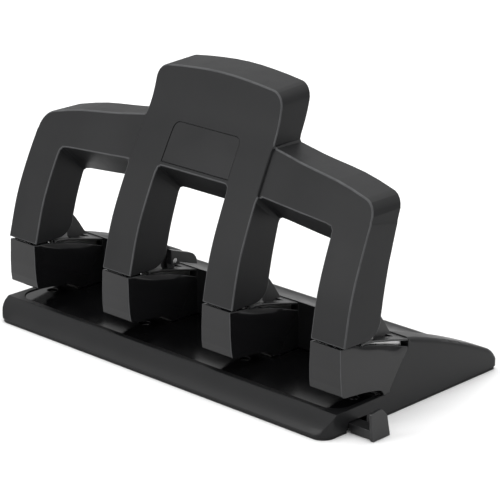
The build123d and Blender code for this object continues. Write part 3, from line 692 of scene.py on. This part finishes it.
# ---------------------------------------------------------------- handle
@dataclass
class Handle:
    """Looped lever with four legs, three windows, a rear cover and a blank label."""

    wardrobe: Wardrobe
    front: list[Point] = field(default_factory=lambda: [
        (0.6, 46.0), (1.0, 50.0), (7.2, 75.0), (17.0, 99.0), (29.0, 123.0), (39.4, 143.0), (45.4, 167.0)])
    rear: list[Point] = field(default_factory=lambda: [
        (30.4, 60.0), (33.9, 74.0), (39.7, 92.0), (46.0, 111.0), (55.5, 131.5), (63.2, 148.0), (69.3, 167.0)])
    heel_centre: Point = (19.5, 60.0)
    heel_radius: float = 10.9
    leg_foot: float = 49.15
    slab: float = 30.0
    wall: float = 2.5
    edge: float = 0.75
    arm_setback: float = 1.7
    top_rise: float = 1.6
    ceiling_slope: float = 0.95
    ceiling_depth: float = 21.5
    middle_ceiling: float = 112.0
    side_ceiling: tuple[Point, Point] = ((50.2, 111.0), (106.4, 104.6))
    slant_foot: float = 62.0
    slant_fade: float = 12.0
    skin: float = 4.0
    arm_foot: float = 109.9
    arm_root: float = 53.0
    arm_fade: float = 48.0
    seam: dict[float, Point] = field(default_factory=lambda: {
        49.2: (-0.55, 0.0), 49.8: (-0.1, 0.3), 50.2: (0.12, 1.0)})
    bend_places: tuple[float, ...] = (56, 62, 68, 74, 80, 86, 92, 98)

    def rear_at(self, height: float) -> float:
        """Depth of the rear surface, with the round heel below the leg's straight part.

        Args:
            height: height on the handle.

        Returns:
            The depth behind the heads' front plane.
        """
        if height < self.heel_centre[1]:
            drop = min(self.heel_centre[1] - height, self.heel_radius)
            return self.heel_centre[0] + math.sqrt(self.heel_radius ** 2 - drop ** 2)
        return interpolate(self.rear, height)

    def ceiling_height(self, x: float) -> float:
        """Height of a window's front top edge.

        Args:
            x: place along the handle.

        Returns:
            The height.
        """
        if abs(x) < HEAD_X[2]:
            return self.middle_ceiling
        (near, high), (far, low) = self.side_ceiling
        return high + (near - abs(x)) * (high - low) / (far - near)

    def loop_side(self, height: float) -> float:
        """Half-width of the middle loop where the arms meet it; it narrows upwards."""
        return 50.2 - (height - 110.0) * 0.9 / 24.0

    def step_back(self, point: Vector) -> Vector:
        """Draw the loop's edge true and set the arms' front back behind it, in the flat slab.

        Args:
            point: place in the flat slab.

        Returns:
            The new place.
        """
        x, height = abs(point.x), point.z
        on_arm = point.y <= 8.0 and 48.9 < x < 103.0 and height <= 134.6
        if not on_arm or (height < self.arm_foot and x < self.arm_root):
            return point
        for mark, (offset, share) in self.seam.items():
            if abs(x - mark) < 0.02:
                x = self.loop_side(height) + offset
                return Vector((math.copysign(x, point.x), point.y + share * self.arm_setback, height))
        if x < max(self.seam):
            return point
        share = 1.0 - ease(clamp((x - self.arm_root) / self.arm_fade))
        return Vector((point.x, point.y + share * self.arm_setback * (1.0 - point.y / 12.0), height))

    def slant(self, x: float, height: float) -> float:
        """How far a point falls per millimetre to the rear: most at a ceiling, none near foot and top.

        Args:
            x: place along the handle.
            height: height on the handle.

        Returns:
            The slope.
        """
        ceiling = self.ceiling_height(x)
        if height <= ceiling:
            share = (height - self.slant_foot) / (ceiling - self.slant_foot)
        else:
            share = 1.0 - (height - ceiling) / self.slant_fade
        return self.ceiling_slope * clamp(share)

    def wrap(self, point: Vector) -> Vector:
        """Carry a point of the flat slab onto the curved handle.

        Args:
            point: place in the flat slab.

        Returns:
            Its place on the handle.
        """
        height = point.z
        fall = self.slant(point.x, height)
        for _ in range(6):
            low, high = interpolate(self.front, height), self.rear_at(height)
            if point.y < self.skin:
                depth = low + point.y
            elif point.y > self.slab - self.skin:
                depth = high - (self.slab - point.y)
            else:
                inner = (point.y - self.skin) / (self.slab - 2 * self.skin)
                depth = low + self.skin + inner * (high - low - 2 * self.skin)
            height = point.z - fall * (depth - self.ceiling_depth) if fall else point.z
        rise = self.top_rise * max(0.0, point.z - 148.0) / 17.0 * max(0.0, depth - 44.0) / 24.0
        return Vector((point.x, FRONT + depth, height + rise))

    def front_outline(self, inset: float, foot: float) -> list[Point]:
        """Right half of the outer outline, foot first, then up and over to the middle.

        Args:
            inset: how far it stands inside the outer surface.
            foot: height of the legs' lower ends.

        Returns:
            Points (x, height).
        """
        outer, lean = 132.5 - inset, 0.0386
        top, corner = 121.9 - inset, 10.5
        points = [(outer - lean * (height - 50.0), height) for height in (foot, top - corner)]
        radius = corner - inset
        points += arc((outer - 2.75 - radius, top + 0.9 - radius), radius, (0, 14, 28, 42, 56, 70, 82))
        shoulder = [(110.0, 125.1), (100.0, 126.9), (90.0, 128.1), (80.0, 129.1), (70.0, 130.2),
                    (60.0, 131.7)]
        loop = 49.3 - inset
        radius = 9.0 - inset
        points += [(x, height - inset) for x, height in shoulder]
        points += [(loop + 1.8, 133.0 - inset), (loop + 0.4, 134.2 - inset), (loop, 136.4 - inset)]
        points += arc((loop - 0.7 - radius, 162.3 - inset - radius), radius, (2, 14, 26, 38, 50, 62, 74, 84))
        crown = [(30.0, 163.4), (20.0, 164.2), (10.0, 164.8), (0.0, 165.0)]
        return points + [(x, height - inset) for x, height in crown]

    def window_sides(self, grow: float, foot: float) -> list[Point]:
        """Right-hand edges of the gaps, from the middle gap's top to the right gap's outer foot.

        Args:
            grow: how far the gaps are widened.
            foot: height of the legs' lower ends.

        Returns:
            Points (x, height).
        """
        drop = foot - 50
        middle = [(22.0, 112.0 + grow), (25.2 + grow, 111.8 + grow), (26.9 + grow, 110.4 + grow),
                  (27.6 + grow, 106.0 + grow), (28.7 + grow - 0.02 * drop, foot)]
        left = [(51.3 - grow - 0.02 * drop, foot), (50.2 - grow, 105.0 + grow), (50.7 - grow, 109.2 + grow),
                (52.4, 110.7 + grow), (56.0, 110.4 + grow)]
        right = [(80.0, 107.6 + grow), (101.0, 105.3 + grow), (104.6 + grow, 104.4 + grow),
                 (106.2 + grow, 102.0 + grow), (106.6 + grow, 98.0), (108.7 + grow - 0.04 * drop, foot)]
        return middle + left + right

    def full_outline(self, inset: float, foot: float) -> list[Point]:
        """Whole outline of the handle, along the outside and around the three gaps, open below.

        Args:
            inset: how far it stands inside the outer surface.
            foot: height of the legs' lower ends.

        Returns:
            Points (x, height).
        """
        right_half = self.window_sides(inset, foot) + self.front_outline(inset, foot)
        return right_half + mirrored([point for point in right_half if point[0] > 0])

    def slab_piece(self, inset: float, foot: float, behind: float) -> Workpiece:
        """Flat slab of the handle, before it's curved.

        Args:
            inset: how far every side stands inside the outer surface.
            foot: height of the legs' lower ends.
            behind: how far it runs past the rear surface.

        Returns:
            The slab.
        """
        piece = Workpiece()
        piece.block(self.full_outline(inset, foot), "XZ", inset, self.slab + behind - inset)
        return piece

    def levels(self) -> list[float]:
        """Heights at which the slab is divided, closest at the heel."""
        close = [49.4 + 0.9 * step for step in range(13)]
        return close + [62.0 + 3.1 * step for step in range(33)]

    def shell(self) -> bpy.types.Object:
        """Hollow moulded shell, open behind and under the legs.

        Returns:
            The shell.
        """
        outer = self.slab_piece(0.0, self.leg_foot, 0.0)
        outer.soften(lambda edge: span(edge, Y)[1] < 0.1, self.edge, 4)
        outer.soften(lambda edge: span(edge, Y)[0] > self.slab - 0.1, 0.7, 2)
        outer.slice_along(Z, self.levels() + [self.arm_foot])
        places = (*self.seam, *self.bend_places)
        outer.slice_along(X, [side * x for side in (1, -1) for x in places])
        outer.bend(self.step_back)
        outer.bend(self.wrap)
        body = outer.finish("handle_body")
        inner = self.slab_piece(self.wall, 30.0, 14.0)
        inner.slice_along(Z, [31.0 + 2.0 * step for step in range(9)] + self.levels())
        inner.bend(self.wrap)
        pocket = self.label_blank(0.0, -6.0, 6.95)
        return cut_away(body, [inner.finish("handle_room"), pocket.finish("label_pocket")])

    def label_blank(self, inset: float, start: float, depth: float) -> Workpiece:
        """Plate with rounded top corners that follows the front.

        Args:
            inset: how far its edges stand inside the label pocket.
            start: distance of its front face behind the handle's front.
            depth: its thickness.

        Returns:
            The plate.
        """
        half, low, high = 25.7 - inset, 112.6 + inset, 134.3 - inset
        corner = 4.0 - inset
        shoulder = arc((half - corner, high - corner), corner, range(0, 91, 15))
        foot = [(-half - 0.5, low), (half + 0.5, low)]
        piece = Workpiece()
        piece.block(foot + shoulder + mirrored(shoulder), "XZ", start, depth)
        piece.slice_along(Z, [low + 2.0 * step for step in range(1, 11)])
        piece.bend(lambda p: Vector((p.x, FRONT + interpolate(self.front, p.z) + p.y, p.z)))
        return piece

    def cover(self) -> bpy.types.Object:
        """Rear cover, a thin plate set into the shell.

        Returns:
            The cover.
        """
        piece = Workpiece()
        piece.block(self.full_outline(self.wall + 0.15, 70.0), "XZ", self.slab - 3.0, 2.4)
        piece.soften(lambda edge: span(edge, Y)[0] > self.slab - 0.7, 0.4, 2)
        piece.slice_along(Z, self.levels())
        piece.bend(self.wrap)
        return piece.finish("handle_cover")

    def label(self) -> bpy.types.Object:
        """Blank label plate, a little below the front surface.

        Returns:
            The plate.
        """
        piece = self.label_blank(0.3, 0.25, 0.7)
        piece.soften(lambda edge: True, 0.2, 2)
        return piece.finish("label")

    def build(self) -> None:
        """Make, dress and mount the handle's pieces."""
        shell = self.wardrobe.dress(self.shell(), Finish.HANDLE)
        swap_in(shell, "handle", ["handle_shell"])
        cover = self.wardrobe.dress(self.cover(), Finish.HANDLE_BACK)
        swap_in(cover, "handle", ["handle_rear_cover"])
        label = self.wardrobe.dress(self.label(), Finish.LABEL)
        swap_in(label, "handle", ["label_plate"])
        log.info("handle: shell %d faces, cover %d faces", len(shell.data.polygons), len(cover.data.polygons))


# ---------------------------------------------------------------- head covers
@dataclass
class HeadCovers:
    """Four polished covers, each with a faceted band along the top of its sides."""

    wardrobe: Wardrobe
    half_top: float = 10.6
    half_foot: float = 11.7
    half_rear: float = 11.1
    inner_half: float = 9.2
    half_blank: float = 11.0
    crease: float = 24.0

    def profile(self) -> list[Point]:
        """Side outline, from the top front corner, clockwise.

        Returns:
            Points (depth, height).
        """
        roof = [(34.5, 14.2), (34.0, 15.2), (33.0, 16.2), (31.5, 16.95), (27.8, 18.0), (23.8, 18.8),
                (18.0, 19.7), (12.6, 20.3), (6.5, 20.9), (3.2, 21.2), (1.7, 21.6), (0.9, 22.4)]
        seam = [(54.2, 35.6), (54.0, 35.0), (51.1, 30.9), (47.9, 27.2), (44.0, 21.5), (40.95, 17.1),
                (39.3, 13.45), (34.5, 13.45)]
        front = [(0.2, 27.0), (-0.15, 35.0), (-0.05, 42.0), (0.0, 48.5)]
        top = [(7.6, 47.7), (15.3, 46.5), (23.4, 44.7), (31.4, 42.6), (42.8, 39.3)]
        return top + seam + roof + front

    def band_foot(self, depth: float) -> float:
        """Height at which the band along the side's top begins.

        Args:
            depth: depth behind the front plane.

        Returns:
            The height.
        """
        line = [(48.2, -1.0), (47.0, 4.0), (42.1, 16.8), (38.7, 28.6), (34.4, 40.6), (33.8, 45.4),
                (35.0, 50.3), (35.6, 53.6)]
        return interpolate(line, depth)

    def taper(self, point: Vector) -> Vector:
        """Lean the sides: widest at the front foot, narrower above and behind, rolled in along the band.

        Args:
            point: place on the straight blank.

        Returns:
            The new place.
        """
        depth = point.y - FRONT
        over = point.z - self.band_foot(depth)
        if over > 0.0 and abs(point.x) > 9.0:
            roll = min(1.45, 0.16 * over + 0.03 * over * over)
            point = Vector((math.copysign(max(abs(point.x) - roll, 9.4), point.x), point.y, point.z))
        rise = clamp((point.z - 20.0) / 28.0)
        back = clamp(depth / 40.0)
        front_half = self.half_foot + (self.half_top - self.half_foot) * rise
        half = front_half + (self.half_rear - front_half) * back
        return Vector((point.x * half / self.half_blank, point.y, point.z))

    def on_side(self, edge: bmesh.types.BMEdge) -> bool:
        """Whether an edge keeps to one side of the blank."""
        return abs(edge.verts[0].co.x - edge.verts[1].co.x) < 0.1

    def one(self, number: int) -> bpy.types.Object:
        """Build a cover.

        Args:
            number: head number, from 1 at the left.

        Returns:
            The cover.
        """
        piece = Workpiece()
        piece.block([(FRONT + d, z) for d, z in self.profile()], "YZ", -self.half_blank, 2 * self.half_blank)
        piece.soften(lambda edge: self.on_side(edge) and span(edge, Z)[0] > 34.9
                     and edge.verts[0].co.y > FRONT + 0.2, 1.3, 1)
        piece.soften(lambda edge: self.on_side(edge) and span(edge, Y)[1] < FRONT + 1.0, 0.8, 4)
        piece.soften(lambda edge: self.on_side(edge) and span(edge, Z)[1] < 22.5, 0.35, 2)
        piece.slice_along(Y, [FRONT + 1.5 + 2.0 * step for step in range(26)])
        piece.slice_along(Z, [22.0 + 1.2 * step for step in range(22)])
        piece.bend(self.taper)
        place = HEAD_X[number - 1]
        cover = piece.finish(f"head_cover_{number}_polished", (place, 0, 0), self.crease)
        room = Workpiece()
        inside = [(2.0, 60.0), (2.0, 23.0), (12.6, 21.8), (24.0, 20.3), (31.5, 18.4), (35.6, 15.6),
                  (35.6, 10.0), (60.0, 10.0), (60.0, 60.0)]
        room.block([(FRONT + d, z) for d, z in inside], "YZ", -self.inner_half, 2 * self.inner_half)
        hole = Workpiece()
        bmesh.ops.create_cone(hole.bm, cap_ends=True, segments=48, radius1=3.35, radius2=3.35, depth=14.0)
        tools = [room.finish("room", (place, 0, 0)), hole.finish("hole", (place, FRONT + 22.5, 18.0))]
        return cut_away(cover, tools, self.crease)

    def build(self) -> None:
        """Make, dress and mount the four covers."""
        for number in range(1, 5):
            cover = self.wardrobe.dress(self.one(number), Finish.COVER)
            swap_in(cover, "base", [f"head_cover_{number}"])
        log.info("head covers: 4 made")


# ---------------------------------------------------------------- pieces kept close to the solids
@dataclass
class Refined:
    """Pieces whose solids only need rounded edges."""

    wardrobe: Wardrobe
    plan: list[tuple[str, str, str, Finish, float]] = field(default_factory=lambda: [
        ("lock_lever", "lock", "lever_plastic", Finish.DECK, 0.5),
        ("paper_guide", "guide", "guide_plastic", Finish.DECK, 0.35),
        ("paper_table", "base", "table_gloss", Finish.TABLE, 0.25),
        *[(f"deck_cap_{n}", "base", "deck_plastic", Finish.DECK, 0.3) for n in range(1, 5)],
        *[(f"drive_cam_{n}", "handle", "cam_steel", Finish.CAM, 0.3) for n in range(1, 5)],
    ])

    def build(self) -> None:
        """Copy, round, dress and mount each piece."""
        for node, body, slot, finish, radius in self.plan:
            piece = copied(node)
            piece.soften(lambda edge: True, radius, 2)
            thing = self.wardrobe.dress(piece.finish(f"{node}_rounded"), finish)
            swap_in(thing, body, [node])
            log.info("%s: %d faces", node, len(thing.data.polygons))


@dataclass
class Base:
    """Base housing whose tail is dished between its two raised ends."""

    wardrobe: Wardrobe
    floor: float = 2.2
    crest: list[Point] = field(default_factory=lambda: [
        (40.6, 54.6), (39.3, 60.0), (36.2, 70.0), (29.0, 90.0), (20.9, 110.0), (13.6, 126.0), (7.0, 133.0)])
    dish: list[Point] = field(default_factory=lambda: [
        (40.6, 54.6), (37.7, 60.0), (32.4, 70.0), (22.2, 90.0), (13.4, 110.0), (8.6, 126.0), (7.0, 133.0)])
    dish_reach: Point = (55.7, 133.0)
    flat_half: float = 105.0
    fade: float = 13.0

    def press(self, point: Vector) -> Vector:
        """Lower the tail's middle, top and underside together.

        Args:
            point: place on the solid.

        Returns:
            The new place.
        """
        depth, side = point.y - FRONT, abs(point.x)
        in_tail = self.dish_reach[0] < depth < self.dish_reach[1] and side <= self.flat_half + self.fade
        if not in_tail or point.z <= self.floor:
            return point
        share = ease(clamp((self.flat_half + self.fade - side) / self.fade))
        full = (interpolate(self.dish, depth) - self.floor) / (interpolate(self.crest, depth) - self.floor)
        squeeze = 1.0 + (full - 1.0) * share
        return Vector((point.x, point.y, self.floor + (point.z - self.floor) * squeeze))

    def build(self) -> None:
        """Copy, dish, dress and mount the housing."""
        piece = copied("base_housing")
        piece.slice_along(Y, [FRONT + 55.8 + 3.2 * step for step in range(25)])
        bends = [self.flat_half - 1.0 + 1.5 * step for step in range(11)]
        piece.slice_along(X, [side * x for side in (1, -1) for x in bends])
        piece.bend(self.press)
        thing = self.wardrobe.dress(piece.finish("base_dished"), Finish.BASE)
        swap_in(thing, "base", ["base_housing"])
        log.info("base: %d faces", len(thing.data.polygons))


@dataclass
class Springs:
    """Return springs."""

    wardrobe: Wardrobe
    travel: float = 0.0105

    def build(self) -> None:
        """Copy each spring and mount it on the base."""
        for number in range(1, 5):
            node = f"punch_spring_{number}"
            thing = self.wardrobe.dress(copied(node).finish(f"{node}_coil"), Finish.SPRING)
            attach(thing, "base")
            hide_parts(node)
            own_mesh(thing)
        log.info("springs: 4 made")


@dataclass
class Innards:
    """Solids that are shown as they are, with their finishes."""

    wardrobe: Wardrobe
    finishes: dict[str, Finish] = field(default_factory=lambda: {
        "bottom_plate": Finish.UNDERSIDE, "rubber_feet": Finish.RUBBER, "base_screws": Finish.SCREW,
        "chip_tray": Finish.UNDERSIDE, "tray_wall": Finish.UNDERSIDE, "die_plate": Finish.SHEET,
        "head_cover": Finish.COVER, "deck_cap": Finish.DECK, "punch_frame": Finish.SHEET,
        "pivot_shaft": Finish.SHAFT, "drive_cam": Finish.CAM, "punch_pin": Finish.PUNCH,
        "punch_cap": Finish.SHAFT, "punch_spring": Finish.SPRING, "frame_screws": Finish.SCREW,
        "cam_screws": Finish.SCREW, "cover_screws": Finish.SCREW, "lock_lever": Finish.DECK,
        "lock_pin": Finish.SHAFT, "handle_shell": Finish.HANDLE, "handle_rear_cover": Finish.HANDLE_BACK,
        "label_plate": Finish.LABEL, "paper_guide": Finish.DECK, "paper_table": Finish.TABLE,
        "base_housing": Finish.BASE})

    def build(self) -> None:
        """Dress every solid by the longest matching name."""
        for node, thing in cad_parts.items():
            key = max((k for k in self.finishes if node.startswith(k)), key=len)
            self.wardrobe.dress(thing, self.finishes[key])
        log.info("solids dressed: %d", len(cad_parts))


# ---------------------------------------------------------------- studio
@dataclass
class Studio:
    """Pale floor, soft lights and the camera."""

    camera_place: Triple = (0.86194, -0.88976, 0.48565)
    view_axis: Triple = (-0.65459, 0.68166, -0.32688)
    lens: float = 165.4
    floor_tone: Triple = (0.88, 0.88, 0.88)
    sky_low: Triple = (0.35, 0.35, 0.355)
    sky_high: Triple = (1.3, 1.3, 1.3)

    def floor(self) -> None:
        """Large pale floor with a gently mottled surface."""
        bm = bmesh.new()
        bmesh.ops.create_grid(bm, x_segments=4, y_segments=4, size=6.0)
        mesh = bpy.data.meshes.new("studio_floor")
        bm.to_mesh(mesh)
        bm.free()
        floor = bpy.data.objects.new("studio_floor", mesh)
        bpy.context.scene.collection.objects.link(floor)
        book = NodeBook.for_material("floor_paper")
        speck = book.grain(book.place(), 90.0, 4.0)
        darker = tuple(channel * 0.985 for channel in self.floor_tone)
        colour = book.blend(speck.ramp(0.3, 0.7), darker, self.floor_tone)
        rough = speck.ramp(0.3, 0.7, 0.75, 0.85)
        floor.data.materials.append(book.surface({"Base Color": colour, "Roughness": rough}))
        floor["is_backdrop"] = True

    def lamp(self, name: str, place: Point, height: float, size: Point, power: float, aim: Triple) -> None:
        """Area light.

        Args:
            name: object name.
            place: x and y in metres.
            height: z in metres.
            size: its two sides.
            power: watts.
            aim: point it faces.
        """
        light = bpy.data.lights.new(name, "AREA")
        light.shape = "RECTANGLE"
        light.size, light.size_y = size
        light.energy = power
        lamp = bpy.data.objects.new(name, light)
        lamp.location = (*place, height)
        lamp.rotation_euler = (Vector(aim) - lamp.location).to_track_quat("-Z", "Y").to_euler()
        bpy.context.scene.collection.objects.link(lamp)

    def camera(self) -> None:
        """Camera on the viewing axis."""
        data = bpy.data.cameras.new("viewpoint")
        data.lens = self.lens
        data.sensor_width = 36.0
        data.clip_start, data.clip_end = 0.05, 20.0
        camera = bpy.data.objects.new("viewpoint", data)
        camera.location = self.camera_place
        camera.rotation_euler = Vector(self.view_axis).to_track_quat("-Z", "Y").to_euler()
        bpy.context.scene.collection.objects.link(camera)
        bpy.context.scene.camera = camera

    def sky(self) -> None:
        """Surroundings that grow brighter overhead."""
        world = bpy.data.worlds.new("surroundings")
        book = NodeBook(world)
        way = book.add("ShaderNodeTexCoord")[GENERATED_OUTPUT]
        upward = book.add("ShaderNodeSeparateXYZ", {}, {"Vector": way})[Z]
        colour = book.blend(upward.ramp(0.0, 0.75), self.sky_low, self.sky_high)
        backdrop = book.add("ShaderNodeBackground", {}, {"Color": colour, "Strength": 1.0})[0]
        book.add("ShaderNodeOutputWorld", {}, {"Surface": backdrop})
        bpy.context.scene.world = world

    def build(self) -> None:
        """Set up the whole studio."""
        self.floor()
        self.lamp("overhead", (-0.1, 0.25), 1.4, (1.6, 1.2), 9.0, (0.0, 0.0, 0.0))
        self.lamp("left_fill", (-0.7, -1.6), 0.7, (1.0, 0.9), 14.0, (0.0, 0.0, 0.08))
        self.camera()
        self.sky()
        bpy.context.scene.view_settings.view_transform = "Standard"
        log.info("studio ready")


def note_size(stage: str, book: dict[str, list[list[float]]]) -> None:
    """Keep the object's bounds under a stage's name.

    Args:
        stage: name of the stage.
        book: where the bounds are kept.
    """
    low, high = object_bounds()
    book[stage] = [[float(value) for value in low], [float(value) for value in high]]


def main() -> None:
    """Build the punch and its studio."""
    sizes: dict[str, list[list[float]]] = {}
    note_size("cad", sizes)
    wardrobe = Wardrobe()
    Innards(wardrobe).build()
    Base(wardrobe).build()
    Springs(wardrobe).build()
    Refined(wardrobe).build()
    HeadCovers(wardrobe).build()
    Handle(wardrobe).build()
    Studio().build()
    note_size("visual", sizes)


if __name__ == "__main__":
    main()
